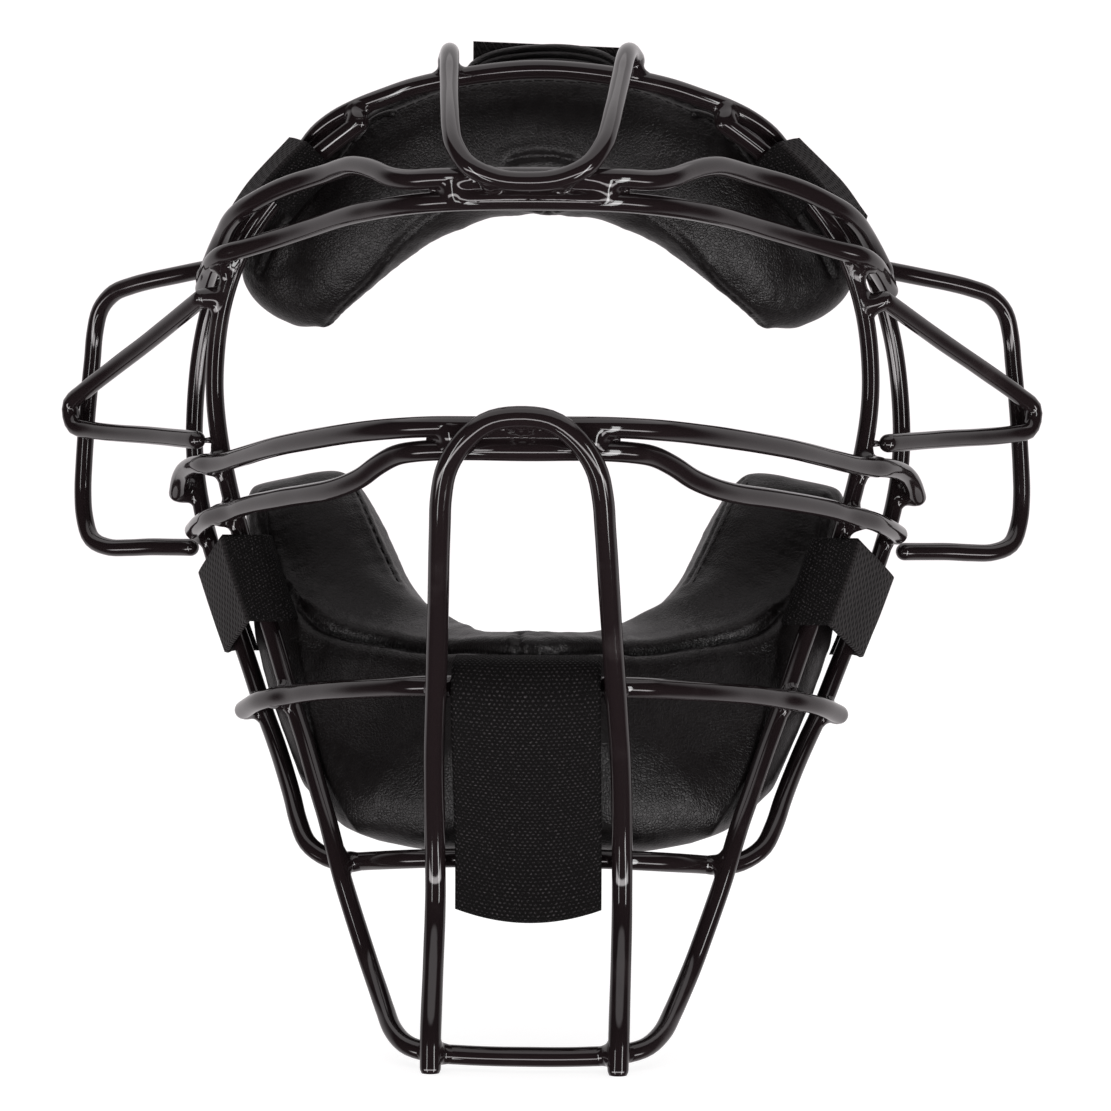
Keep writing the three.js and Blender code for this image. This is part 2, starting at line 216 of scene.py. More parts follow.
def tube(name, line, radius, sides, lumps=0.0):
    """A round rod with rounded ends. lumps is how far its coating varies, as a share of the radius."""
    tangents = unit(np.gradient(line, axis=0))
    cap = np.radians(CAP_ANGLES)
    back = [(line[0] - tangents[0] * radius * math.sin(a), tangents[0], math.cos(a)) for a in cap]
    ahead = [(line[-1] + tangents[-1] * radius * math.sin(a), tangents[-1], math.cos(a)) for a in cap]
    stations = back + [(p, t, 1.0) for p, t in zip(line, tangents)] + ahead[::-1]
    side = Vector(tangents[0]).orthogonal().normalized()
    verts = []
    for place, tangent, size in stations:
        axis = Vector(tangent)
        side = (side - axis * side.dot(axis)).normalized()
        other = axis.cross(side)
        for k in range(sides):
            turn = 2 * math.pi * k / sides
            out = side * math.cos(turn) + other * math.sin(turn)
            point = Vector(place) + out * radius
            swell = 1 + lumps * noise.noise(point * LUMP_SCALE)
            verts.append(Vector(place) + out * radius * size * swell)
    faces = grid_faces(len(stations), sides, wrap=True)
    first = len(verts)
    verts.append(Vector(line[0] - tangents[0] * radius))
    verts.append(Vector(line[-1] + tangents[-1] * radius))
    last = (len(stations) - 1) * sides
    for k in range(sides):
        n = (k + 1) % sides
        faces.append((first, n, k))
        faces.append((first + 1, last + k, last + n))
    return add_mesh(name, verts, faces)


# ------------------------------------------------------------------ materials
class Shader:
    """A node material with one Principled shader, and short calls for the nodes that feed it."""

    def __init__(self, name, color, roughness, **sockets):
        self.material = bpy.data.materials.new(name)
        self.material.use_nodes = True
        self.tree = self.material.node_tree
        self.bsdf = self.tree.nodes["Principled BSDF"]
        self.bsdf.inputs["Base Color"].default_value = (*color, 1)
        self.bsdf.inputs["Roughness"].default_value = roughness
        for socket, value in sockets.items():
            self.bsdf.inputs[socket.replace("_", " ")].default_value = value

    def node(self, kind, output=0, **inputs):
        node = self.tree.nodes.new("ShaderNode" + kind)
        for key, value in inputs.items():
            if key in node.bl_rna.properties and key not in node.inputs:
                setattr(node, key, value)
                continue
            socket = node.inputs[int(key[1:])] if key[0] == "_" else node.inputs[key.replace("_", " ")]
            if isinstance(value, bpy.types.NodeSocket):
                self.tree.links.new(value, socket)
            else:
                socket.default_value = value
        return node.outputs[output]

    def math(self, operation, *values):
        return self.node("Math", operation=operation, **{f"_{i}": v for i, v in enumerate(values)})

    def place(self):
        return self.node("TexCoord", output="Object")

    def uv(self):
        """The two distances on a strip of webbing, across and along it, in metres."""
        split = self.tree.nodes.new("ShaderNodeSeparateXYZ")
        self.tree.links.new(self.node("TexCoord", output="UV"), split.inputs[0])
        return split.outputs[0], split.outputs[1]

    def noise(self, scale, detail=3.0, vector=None):
        return self.node("TexNoise", Vector=vector or self.place(), Scale=scale, Detail=detail)

    def ranged(self, value, low, high, to_low, to_high):
        return self.node("MapRange", _0=value, _1=low, _2=high, _3=to_low, _4=to_high)

    def mixed(self, share, first, second):
        mix = self.tree.nodes.new("ShaderNodeMix")
        mix.data_type = "RGBA"
        self.tree.links.new(share, mix.inputs[0])
        mix.inputs[6].default_value = (*first, 1)
        mix.inputs[7].default_value = (*second, 1)
        return mix.outputs[2]

    def bump(self, height, distance, strength=1.0, under=None):
        inputs = {"Height": height, "Distance": distance, "Strength": strength}
        if under is not None:
            inputs["Normal"] = under
        return self.node("Bump", **inputs)

    def feed(self, **sources):
        for socket, value in sources.items():
            self.tree.links.new(value, self.bsdf.inputs[socket.replace("_", " ")])
        return self.material


def rod_coat_material(color, rubbed_color):
    """Thick black vinyl, dipped on: glossy, faintly uneven, with dull rubbed patches."""
    s = Shader("rod_coat_vinyl", color, 0.1, IOR=1.5)
    uneven = s.noise(300, 2.0)
    rubbed = s.ranged(s.noise(45, 6.0), 0.6, 0.72, 0.0, 1.0)
    scratch = s.noise(900, 4.0)
    roughness = s.math("ADD", s.math("MULTIPLY", rubbed, s.math("MULTIPLY", scratch, 0.22)), 0.07)
    waves = s.bump(uneven, 0.02 * MM, 0.5)
    return s.feed(
        Base_Color=s.mixed(rubbed, color, rubbed_color),
        Roughness=roughness,
        Normal=s.bump(s.math("MULTIPLY", rubbed, scratch), 0.015 * MM, 0.6, waves),
    )


def leather_material(name, color, worn, roughness, grain):
    """Soft synthetic leather: pebbled grain, fine creases, and lighter, smoother patches."""
    s = Shader(name, color, roughness, IOR=1.48, Specular_IOR_Level=0.26)
    warped = s.node("VectorMath", operation="ADD", _0=s.place(), _1=s.node(
        "VectorMath", operation="SCALE", _0=s.noise(160, 3.0), Scale=1.2 * MM))
    pebbles = s.node("TexVoronoi", feature="DISTANCE_TO_EDGE", Vector=warped, Scale=1000 / grain)
    creases = s.noise(420, 5.0, warped)
    broad = s.noise(38, 4.0)
    patches = s.ranged(broad, 0.4, 0.68, 0.0, 1.0)
    pores = s.ranged(pebbles, 0.0, 0.22, 0.0, 1.0)
    skin = s.bump(pores, 0.09 * MM, 0.6)
    folds = s.bump(creases, 0.3 * MM, 0.5, skin)
    rough = s.math("ADD", s.math("MULTIPLY", creases, 0.16), roughness - 0.08)
    return s.feed(
        Base_Color=s.mixed(patches, color, worn),
        Roughness=s.math("SUBTRACT", rough, s.math("MULTIPLY", patches, 0.07)),
        Normal=s.bump(broad, 0.4 * MM, 0.3, folds),
    )


def woven_height(s, across, along, pitch, diagonal):
    """Height of a weave's yarns, 0 to 1. diagonal above 0 shifts each yarn, which gives a twill's ribs."""
    u = s.math("DIVIDE", across, pitch)
    v = s.math("DIVIDE", along, pitch)
    shifted = s.math("ADD", u, s.math("MULTIPLY", v, diagonal))
    warp = s.math("ABSOLUTE", s.math("SINE", s.math("MULTIPLY", shifted, math.pi)))
    weft = s.math("ABSOLUTE", s.math("SINE", s.math("MULTIPLY", v, math.pi)))
    over = s.ranged(s.math("SINE", s.math("MULTIPLY", s.math("ADD", u, v), math.pi)), -0.3, 0.3, 0.0, 1.0)
    low = s.math("MULTIPLY", weft, s.math("SUBTRACT", 1.0, over))
    return s.math("ADD", s.math("MULTIPLY", warp, over), s.math("MULTIPLY", low, 0.8))


def webbing_material(name, pitch, stretch, diagonal, dark, light, depth):
    """Woven nylon: yarns as bump and as colour. The colour is painted lighter on the yarns' crowns and darker
    in the hollows between them, a painted highlight and painted shade, broken up by fuzz, with faded patches
    of wear on the crowns. stretch is a yarn's length over its width."""
    s = Shader(name, dark, 0.62, Specular_IOR_Level=0.08)
    across, along = s.uv()
    height = woven_height(s, across, s.math("DIVIDE", along, stretch), pitch, diagonal)
    fuzz = s.noise(2600, 3.0)
    faded = s.ranged(s.noise(70, 4.0), 0.35, 0.75, 0.0, 0.35)
    # share goes from dark to light: painted highlight on the yarn crowns, painted shade in the hollows, plus
    # faded wear
    share = s.math("ADD", s.math("MULTIPLY", s.math("MULTIPLY", height, fuzz), 1.1), s.math(
        "MULTIPLY", faded, height))
    return s.feed(
        Base_Color=s.mixed(share, dark, light),
        Roughness=s.ranged(height, 0.0, 1.0, 0.85, 0.5),
        Normal=s.bump(fuzz, 0.12 * MM, 0.5, s.bump(height, depth, 0.9)),
    )


def loop_tape_material(name, pitch_across, pitch_along, mess):
    """Loop tape: staggered tufts of shiny threads on a dark knitted ground; the tufts' threads are painted
    lighter than the ground, a painted highlight. mess is how far the tufts stray, as a share of their pitch."""
    ground = (0.003, 0.0027, 0.0027)
    s = Shader(name, ground, 0.7, Specular_IOR_Level=0.07)
    across, along = s.uv()
    stray = s.math("MULTIPLY", s.math("SUBTRACT", s.noise(900, 2.0), 0.5), 4 * mess)
    v = s.math("ADD", s.math("DIVIDE", along, pitch_along), stray)
    odd = s.math("MULTIPLY", s.math("MODULO", s.math("FLOOR", v), 2.0), 0.5)
    u = s.math("ADD", s.math("SUBTRACT", s.math("DIVIDE", across, pitch_across), stray), odd)
    du = s.math("SUBTRACT", s.math("FRACT", u), 0.5)
    dv = s.math("SUBTRACT", s.math("FRACT", v), 0.5)
    radius = s.math("SQRT", s.math("ADD", s.math("MULTIPLY", du, du), s.math("MULTIPLY", dv, dv)))
    tuft = s.ranged(radius, 0.08, 0.36, 1.0, 0.0)
    threads = s.ranged(s.noise(2400, 4.0), 0.42, 0.6, 0.0, 1.0)
    height = s.math("MULTIPLY", tuft, s.math("ADD", threads, 0.3))
    return s.feed(
        # the pale colour on the tufts' threads is a painted highlight
        Base_Color=s.mixed(s.math("MULTIPLY", tuft, threads), ground, (0.055, 0.05, 0.052)),
        Roughness=s.ranged(tuft, 0.0, 1.0, 0.85, 0.5),
        Normal=s.bump(threads, 0.12 * MM, 0.6, s.bump(height, 0.3 * MM, 0.8)),
    )


NEAR_BLACK = (0.0026, 0.0023, 0.0023)
ROD_COAT = rod_coat_material(color=(0.008, 0.0055, 0.006), rubbed_color=(0.014, 0.0105, 0.011))
LEATHER = leather_material(
    "pad_leather", color=(0.0034, 0.0027, 0.0028), worn=(0.0062, 0.0052, 0.0053), roughness=0.39, grain=0.9)
# Each webbing's light colour is painted on its yarn crowns as a painted highlight.
TWILL = webbing_material(
    "twill_webbing", pitch=1.2 * MM, stretch=1.9, diagonal=1.0, dark=NEAR_BLACK,
    light=(0.026, 0.023, 0.0236), depth=0.45 * MM)
FLAP_TAPE = loop_tape_material("flap_tape", pitch_across=1.0 * MM, pitch_along=0.85 * MM, mess=0.5)
LOOP_TAPE = loop_tape_material("loop_tape", pitch_across=1.3 * MM, pitch_along=1.0 * MM, mess=0.15)
HOOK_TAPE = webbing_material(
    "hook_tape", pitch=1.3 * MM, stretch=1.0, diagonal=0.0, dark=NEAR_BLACK,
    light=(0.02, 0.019, 0.019), depth=0.6 * MM)
THREAD = webbing_material(
    "thread", pitch=0.4 * MM, stretch=1.0, diagonal=0.5, dark=NEAR_BLACK,
    light=(0.014, 0.0125, 0.0125), depth=0.05 * MM)


# ------------------------------------------------------------------ the cage
for rod in RODS:
    piece = tube(rod + "_rod", ROD_LINES[rod], ROD_RADIUS[rod], ROUND_SIDES, lumps=ROD_LUMPS)
    finished(piece, ROD_COAT, "rod_coat", "frame", rod)

# Welds. Where two rods touch, coating and weld metal fill the corner between them in one smooth fillet.
WELD_REACH = 7.5 * MM         # how far a fillet runs along the rods from where they touch
TOUCHING = 1.1 * MM           # rods this near each other are welded
CONTACT_BREAK = 3             # contacts no more than this many steps apart are one
LONG_CONTACT = 12             # steps along a rod that make a contact long
WELDED_SHARE = (0.22, 0.78)   # the part of a long contact that is welded
FILLET = 0.85 * MM            # a larger value fills the corner more softly
WELD_VOXEL = 0.55 * MM
WELD_PROUD = 0.12 * MM        # how far a weld stands out at its middle
WELD_SUNK = 0.5 * MM          # how deep it lies under the coating at its ends
FADE_START = 0.35             # where a weld starts to sink, as a share of its reach
FADE_SPAN = 0.5
WELD_BLOB = 0.5 * MM          # how much thicker than its rods the blob starts
FIT_PASSES = 5                # moves that bring the blob onto the weld's surface
FIT_STEP = 0.8 * MM           # the furthest that one of them goes
LEAST_SLOPE = 0.2
WELD_ROUGHNESS = ((0.06 * MM, 260), (0.018 * MM, 700))    # heights, and bumps per metre
BALL_SHIFT = 0.8 * MM         # how far a weld's lumps may stray from its ends, each way
BALL_SIZES = (1.9, 2.7)       # their least and largest radius, in millimetres
SHORT_WELD = 4                # a weld of this many points or fewer has one lump


def rough_at(point, layers):
    """Layered noise at a point. Each layer is its height and its bumps per metre."""
    return sum(height * noise.noise(Vector(point) * scale) for height, scale in layers)


def contact_groups(first, second):
    """The welds between two rods, each as an array of points between them. Rods that run side by side are
    only welded over the middle of that stretch."""
    a = ROD_LINES[first]
    b = ROD_LINES[second]
    gap = np.linalg.norm(a[:, None] - b[None], axis=2)
    nearest = gap.argmin(axis=1)
    close = gap.min(axis=1) < ROD_RADIUS[first] + ROD_RADIUS[second] + TOUCHING
    groups = []
    for i in np.flatnonzero(close):
        point = (a[i] + b[nearest[i]]) / 2
        if groups and i - groups[-1][0] <= CONTACT_BREAK:
            groups[-1][0] = i
            groups[-1][1].append(point)
        else:
            groups.append([i, [point]])
    spots = []
    for _, points in groups:
        if len(points) > LONG_CONTACT:
            start, end = (round(share * (len(points) - 1)) for share in WELDED_SHARE)
            points = points[start:end + 1]
        spots.append(np.array(points))
    return spots


def gap_to(points, lines):
    """Signed distance from points to each rod surface near by."""
    columns = []
    for line, radius in lines:
        start = line[:-1]
        run = line[1:] - start
        t = ((points[:, None] - start) * run).sum(axis=2) / (run * run).sum(axis=1)
        foot = start + np.clip(t, 0, 1)[:, :, None] * run
        columns.append(np.linalg.norm(points[:, None] - foot, axis=2).min(axis=1) - radius)
    return np.column_stack(columns)


def weld_field(points, contacts, lines, balls):
    """0 on the weld's surface, negative inside it."""
    gaps = gap_to(points, lines)
    if len(balls):
        ball_gap = [np.linalg.norm(points - centre, axis=1) - size for centre, size in balls]
        gaps = np.column_stack([gaps, *ball_gap])
    joined = -FILLET * np.log(np.exp(-gaps / FILLET).sum(axis=1))
    reach = np.linalg.norm(points[:, None] - contacts[None], axis=2).min(axis=1)
    fade = np.clip((reach / WELD_REACH - FADE_START) / FADE_SPAN, 0, 1)
    fade = fade * fade * (3 - 2 * fade)
    grown = WELD_PROUD * (1 - fade) - WELD_SUNK * fade
    return np.maximum(joined - grown, reach - WELD_REACH)


def weld_mesh(contacts, balls):
    """The blob that fills one weld, pulled onto the surface that weld_field gives."""
    lines = []
    spots = []
    for rod in RODS:
        line = ROD_LINES[rod]
        reach = np.linalg.norm(line[:, None] - contacts[None], axis=2).min(axis=1)
        near = np.flatnonzero(reach < 3 * WELD_REACH)
        if len(near) < 2:
            continue
        for run in np.split(near, np.flatnonzero(np.diff(near) > 1) + 1):
            if len(run) > 1:
                lines.append((line[run], ROD_RADIUS[rod]))
        spots += [(p, ROD_RADIUS[rod] + WELD_BLOB) for p in line[reach < WELD_REACH]]
    spots += balls
    bm = bmesh.new()
    for centre, size in spots:
        bmesh.ops.create_icosphere(bm, subdivisions=2, radius=size, matrix=Matrix.Translation(Vector(centre)))
    mesh = bpy.data.meshes.new("weld")
    bm.to_mesh(mesh)
    bm.free()
    blob = bpy.data.objects.new("weld", mesh)
    bpy.context.scene.collection.objects.link(blob)
    voxel_remeshed(blob, WELD_VOXEL)
    points = coords_of(blob.data)
    tiny = 0.01 * MM
    for _ in range(FIT_PASSES):
        value = weld_field(points, contacts, lines, balls)
        slope = np.column_stack([
            (weld_field(points + nudge, contacts, lines, balls) - value) / tiny
            for nudge in np.eye(3) * tiny])
        steep = np.maximum((slope**2).sum(axis=1), LEAST_SLOPE)
        step = np.clip(value / steep, -FIT_STEP, FIT_STEP)
        points = points - slope * step[:, None]
    rough = np.array([rough_at(p, WELD_ROUGHNESS) for p in points])
    set_coords(blob.data, points)
    points = points + normals_of(blob.data) * rough[:, None]
    faces = [tuple(f.vertices) for f in blob.data.polygons]
    bpy.data.objects.remove(blob)
    return points, faces


def all_welds():
    """Every weld in one mesh, with a lump of weld metal at its ends."""
    rng = Random(7)
    verts = []
    faces = []
    stretches = []
    for i, first in enumerate(RODS):
        for second in RODS[i + 1:]:
            stretches += contact_groups(first, second)
    ring = ROD_LINES["perimeter_ring"]
    stretches.append((ring[:1] + ring[-1:]) / 2)
    for contacts in stretches:
        ends = [contacts[0], contacts[-1]] if len(contacts) > SHORT_WELD else [contacts.mean(axis=0)]
        balls = []
        for end in ends:
            shift = np.array([rng.uniform(-1, 1) for _ in range(3)]) * BALL_SHIFT
            balls.append((end + shift, rng.uniform(*BALL_SIZES) * MM))
        points, quads = weld_mesh(contacts, balls)
        faces += [tuple(len(verts) + k for k in quad) for quad in quads]
        verts += list(points)
    return add_mesh("cage_welds", verts, faces)


finished(all_welds(), ROD_COAT, "rod_coat", "frame")


# ------------------------------------------------------------------ pads
# Seams are given on the +X half as (x, z) seen from the front, from the middle outwards, in millimetres.
FOREHEAD_TOP_SEAM = [(0, 127), (20, 125.5), (33, 122), (48, 115.5), (57, 106), (66, 95), (75, 84), (80, 75)]
FOREHEAD_LOWER_SEAM = [
    (0, 92.1), (10, 92.7), (21, 92.4), (29, 90.5), (39.5, 82.5), (48, 73), (56, 66.5), (62.5, 61),
]
FOREHEAD_TUCK = [(0, 105), (4.5, 104.7), (9, 103.5)]
FOREHEAD_NOTCH = [(1.5, 96), (1.5, 88)]
TEMPLE_TUCK = [(41, 117.5), (44.5, 117.2), (48, 115.2), (50, 112.4), (52.5, 110.5)]
CHEEK_FRONT_SEAM = [
    (0, -29.4), (15, -28.6), (29, -29.2), (44, -27.2), (52, -26), (59.5, -23.8), (63.3, -21), (65.5, -19),
]
CHEEK_CENTRE_SEAM = [(-3.6, -19), (-3.6, -29)]
CHEEK_INNER_SEAM = [(40, -12), (42.5, -8), (46, -1), (49.5, 6.5), (53, 13.5), (56.5, 18)]
CHEEK_OUTER_SEAM = [(65.5, -19), (69, -14.7), (73, -10), (77.7, 6), (78.5, 13)]
CHIN_EDGE = [(65.5, -19), (65, -30), (63, -37), (61, -45), (55, -63), (46, -77)]
SEAM_STEP = 1.0 * MM
EDGE_REACH = 3.5 * MM         # how far from a seam its corner stands out
PAD_VOXEL = 3.2 * MM
PAD_SUBDIVISIONS = 2
SMOOTHING = 0.5
SMOOTH_BEFORE = 3             # smoothing passes before the cloth simulation
SMOOTH_AFTER = 6              # and after it
CLOTH_PRESSURE = 4
CLOTH_BENDING = 15
CLOTH_GROWTH = 0.01           # how much larger the cloth is cut than the pad it starts from
CLOTH_FRAMES = 20
HOLD_AT_SEAM = 1.3            # how firmly a seam is held: 1 or more is fixed
HOLD_REACH = 4 * MM           # the distance over which that falls by 1
ROD_CLEARANCE = 0.25 * MM
DENT_LEAN = 0.8               # how strongly a dent goes straight into the pad: 0 is away from the rod only
WRINKLES = ((0.2 * MM, 45), (0.05 * MM, 160))    # heights, and bumps per metre
LIP_HEIGHT = 0.35             # the raised lip beside a groove, as a share of the groove's depth
LIP_PLACE = 3                 # its distance and its width, as multiples of the groove's width
LIP_WIDTH = 1.8
PUCKER_REACH = 2.2            # as a multiple of the puckers' pitch
PUCKER_STRAY = 5              # how far puckers stray from an even pitch, in radians
PUCKER_EVEN = 0.6             # the part of their height that is the same all along
STRAY_SCALE = 90
SEAM_APART = 4000             # gives seams of different depth their own noise
STITCH_PITCH = 3 * MM
STITCH_LENGTH = 2.5 * MM
STITCH_RADIUS = 0.17 * MM
STITCH_ASIDE = 1.1 * MM       # from the edge of the groove
STITCH_SIDES = 6
STITCH_PROFILE = ((-0.5, 0.3), (-0.36, 0.9), (0, 1.0), (0.36, 0.9), (0.5, 0.3))
STITCH_FACING = 0.35          # how squarely the pad faces the seam's side where there are stitches
TUCK_RADIUS = 1.3 * MM
TUCK_SIDES = 14
TUCK_LUMPS = 0.5


def both_sides(half):
    return [(-x, z) for x, z in half[::-1]] + (half[1:] if half[0][0] == 0 else half)


class Seam:
    """A sewn line on a pad, in millimetres: the width and depth of its groove, how far the corner between
    two panels stands out along it, and the height and pitch of the puckers that cross it."""

    def __init__(self, half, side=None, look=1, width=0.7, depth=0.7, edge=0.0, pucker=0.1, pitch=4.0,
                 sewn=True):
        self.half = half
        self.side = side      # 1, -1, or None for both halves
        self.look = look      # 1 for a seam on the front of a pad, -1 on its back
        self.width = width * MM
        self.depth = depth * MM
        self.edge = edge * MM
        self.pucker = pucker * MM
        self.pitch = pitch * MM
        self.sewn = sewn


def on_both(half, **facts):
    return [Seam(half, side, **facts) for side in (1, -1)]


def on_surface(mesh, seam):
    """A seam as points and normals on a pad, found by looking at it along Y, with small jumps evened out."""
    tree = BVHTree.FromPolygons(coords_of(mesh).tolist(), [tuple(p.vertices) for p in mesh.polygons])
    flat = both_sides(seam.half) if seam.side is None else [(seam.side * x, z) for x, z in seam.half]
    found = []
    for x, z in resampled(np.array(flat) * MM, step=SEAM_STEP):
        hit = tree.ray_cast(Vector((x, -0.5 * seam.look, z)), Vector((0, seam.look, 0)))
        if hit[0] is not None:
            found.append((*hit[0], *hit[1]))
    kernel = np.ones(5) / 5
    longer = np.pad(np.array(found), ((2, 2), (0, 0)), mode="edge")
    return np.column_stack([np.convolve(longer[:, k], kernel, "valid") for k in range(6)])


FOREHEAD_SEAMS = [
    Seam(FOREHEAD_TOP_SEAM, width=0.9, depth=0.8, edge=0.6),
    Seam(FOREHEAD_LOWER_SEAM, width=0.6, depth=0.7, edge=1.3, pucker=0.06),
    Seam(FOREHEAD_TUCK, width=0.8, depth=0.9, pucker=0.3, pitch=2.6, sewn=False),
    Seam(FOREHEAD_NOTCH, 1, width=0.9, depth=1.6, pucker=0.2, pitch=3.0, sewn=False),
    Seam(FOREHEAD_TOP_SEAM, look=-1),
    Seam(FOREHEAD_LOWER_SEAM, look=-1),
]
CHEEK_SEAMS = [
    Seam(CHEEK_FRONT_SEAM, width=1.3, depth=2.2, pucker=0.15, pitch=6.0),
    Seam(CHEEK_CENTRE_SEAM, 1, width=0.8, depth=0.9, pucker=0.2),
    *on_both(CHEEK_INNER_SEAM, edge=0.8),
    *on_both(CHEEK_OUTER_SEAM, edge=0.8, pucker=0.15),
    *on_both(CHIN_EDGE, width=3.0, depth=0.0, edge=1.2, pucker=0.05, pitch=9.0, sewn=False),
    Seam(CHEEK_FRONT_SEAM, look=-1),
    *on_both(CHEEK_INNER_SEAM, look=-1),
]


def nearest_on(seam_points, points):
    tree = KDTree(len(seam_points))
    for i, p in enumerate(seam_points):
        tree.insert(p[:3], i)
    tree.balance()
    found = [tree.find(p) for p in points]
    return np.array([f[2] for f in found]), np.array([f[1] for f in found])


def largest_island(piece):
    bm = bmesh.new()
    bm.from_mesh(piece.data)
    left = set(bm.verts)
    best = set()
    while left:
        island = {next(iter(left))}
        edge = set(island)
        while edge:
            edge = {e.other_vert(v) for v in edge for e in v.link_edges} - island
            island |= edge
        left -= island
        if len(island) > len(best):
            best = island
    bmesh.ops.delete(bm, geom=[v for v in bm.verts if v not in best], context="VERTS")
    bm.to_mesh(piece.data)
    bm.free()


def inflated(piece, seams, cap):
    """Cloth under pressure: the panels swell between seams that stay where they are."""
    mesh = piece.data
    start = coords_of(mesh)
    group = piece.vertex_groups.new(name="seams")
    held = np.zeros(len(start))
    for seam in seams:
        if seam.sewn:
            distance, _ = nearest_on(on_surface(mesh, seam), start)
            held = np.maximum(held, np.clip(HOLD_AT_SEAM - distance / HOLD_REACH, 0, 1))
    for i, weight in enumerate(held):
        group.add([i], float(weight), "REPLACE")
    cloth = piece.modifiers.new("Cloth", "CLOTH")
    cloth.settings.vertex_group_mass = "seams"
    cloth.settings.use_pressure = True
    cloth.settings.uniform_pressure_force = CLOTH_PRESSURE
    cloth.settings.effector_weights.gravity = 0
    cloth.settings.shrink_min = -CLOTH_GROWTH
    cloth.settings.bending_stiffness = CLOTH_BENDING
    scene = bpy.context.scene
    for number in range(1, CLOTH_FRAMES + 1):
        scene.frame_set(number)
    shaped = piece.evaluated_get(bpy.context.evaluated_depsgraph_get())
    moved = coords_of(shaped.data) - start
    scene.frame_set(1)
    piece.modifiers.remove(cloth)
    piece.vertex_groups.clear()
    length = np.maximum(np.linalg.norm(moved, axis=1, keepdims=True), 1e-9)
    set_coords(mesh, start + moved * np.minimum(1, cap / length))


def off_rods(points, normals, clearance):
    """Dents points out of the rods that press on them."""
    tree = KDTree(sum(len(line) for line in ROD_LINES.values()))
    spots = [(p, ROD_RADIUS[rod]) for rod, line in ROD_LINES.items() for p in line]
    for i, (p, _) in enumerate(spots):
        tree.insert(p, i)
    tree.balance()
    for i, point in enumerate(points):
        _, k, distance = tree.find(point)
        reach = spots[k][1] + clearance
        if distance < reach:
            axis_point = Vector(spots[k][0])
            away = Vector(point) - axis_point - Vector(normals[i]) * reach * DENT_LEAN
            points[i] = axis_point + away.normalized() * reach
    return points


def pad(name, nodes, seams, shrink, cap):
    """A padded cushion from the CAD nodes of its cover and foam. It starts smaller by shrink, and the cloth
    moves it no further than cap."""
    bm = bmesh.new()
    for node in nodes:
        bm.from_mesh(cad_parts[node].data)
    mesh = bpy.data.meshes.new(name)
    bm.to_mesh(mesh)
    bm.free()
    piece = bpy.data.objects.new(name, mesh)
    bpy.context.scene.collection.objects.link(piece)
    voxel_remeshed(piece, PAD_VOXEL)
    largest_island(piece)
    soften = piece.modifiers.new("Smooth", "SMOOTH")
    soften.factor = SMOOTHING
    soften.iterations = SMOOTH_BEFORE
    applied(piece)
    set_coords(piece.data, coords_of(piece.data) - normals_of(piece.data) * shrink)
    inflated(piece, seams, cap)
    settle = piece.modifiers.new("Settle", "SMOOTH")
    settle.factor = SMOOTHING
    settle.iterations = SMOOTH_AFTER
    finer = piece.modifiers.new("Subdivision", "SUBSURF")
    finer.levels = finer.render_levels = PAD_SUBDIVISIONS
    applied(piece)
    sew(piece, seams)
    return piece


def sew(piece, seams):
    """Presses the seams' grooves and puckers, and broad soft wrinkles, into a pad's mesh."""
    mesh = piece.data
    points = coords_of(mesh)
    normals = normals_of(mesh)
    push = np.array([rough_at(p, WRINKLES) for p in points])
    for seam in seams:
        line = on_surface(mesh, seam)
        distance, index = nearest_on(line, points)
        along = index * SEAM_STEP
        groove = -seam.depth * np.exp(-(distance / seam.width) ** 2)
        lip_share = (distance - LIP_PLACE * seam.width) / (LIP_WIDTH * seam.width)
        lip = LIP_HEIGHT * seam.depth * np.exp(-lip_share**2)
        corner = seam.edge * np.exp(-distance / EDGE_REACH)
        stray = np.array([
            noise.noise(Vector((a * STRAY_SCALE, seam.depth * SEAM_APART, 0))) for a in along])
        folds = np.sin(2 * math.pi * along / seam.pitch + PUCKER_STRAY * stray) * (PUCKER_EVEN + stray)
        fade = np.exp(-distance / (PUCKER_REACH * seam.pitch)) * (1 - np.exp(-(distance / seam.width) ** 2))
        push += groove + lip + corner + seam.pucker * folds * fade
    points = points + normals * push[:, None]
    set_coords(mesh, off_rods(points, normals, ROD_CLEARANCE))


def stitches(name, mesh, seams):
    """Short capsules of thread beside each groove, where the pad faces the side that the seam is on."""
    verts = []
    faces = []
    sides = STITCH_SIDES
    surface = BVHTree.FromPolygons(coords_of(mesh).tolist(), [tuple(p.vertices) for p in mesh.polygons])
    for seam in seams:
        if not seam.sewn:
            continue
        line = on_surface(mesh, seam)
        for i in range(2, len(line) - 2, round(STITCH_PITCH / SEAM_STEP)):
            run = Vector(line[i + 1][:3] - line[i - 1][:3]).normalized()
            aside = run.cross(Vector(line[i][3:])).normalized()
            beside = Vector(line[i][:3]) + aside * (seam.width + STITCH_ASIDE)
            middle, up, _, _ = surface.find_nearest(beside)
            if up.y * seam.look > -STITCH_FACING:
                continue
            aside = run.cross(up).normalized()
            start = len(verts)
            for share, size in STITCH_PROFILE:
                for k in range(sides):
                    turn = 2 * math.pi * k / sides
                    out = aside * math.cos(turn) + up * math.sin(turn)
                    verts.append(middle + run * share * STITCH_LENGTH + out * size * STITCH_RADIUS)
            faces += grid_faces(len(STITCH_PROFILE), sides, wrap=True, start=start)
            faces.append(tuple(start + k for k in range(sides))[::-1])
            last = start + (len(STITCH_PROFILE) - 1) * sides
            faces.append(tuple(last + k for k in range(sides)))
    return add_mesh(name, verts, faces, uvs=[(v.x + v.y, v.z) for v in verts])


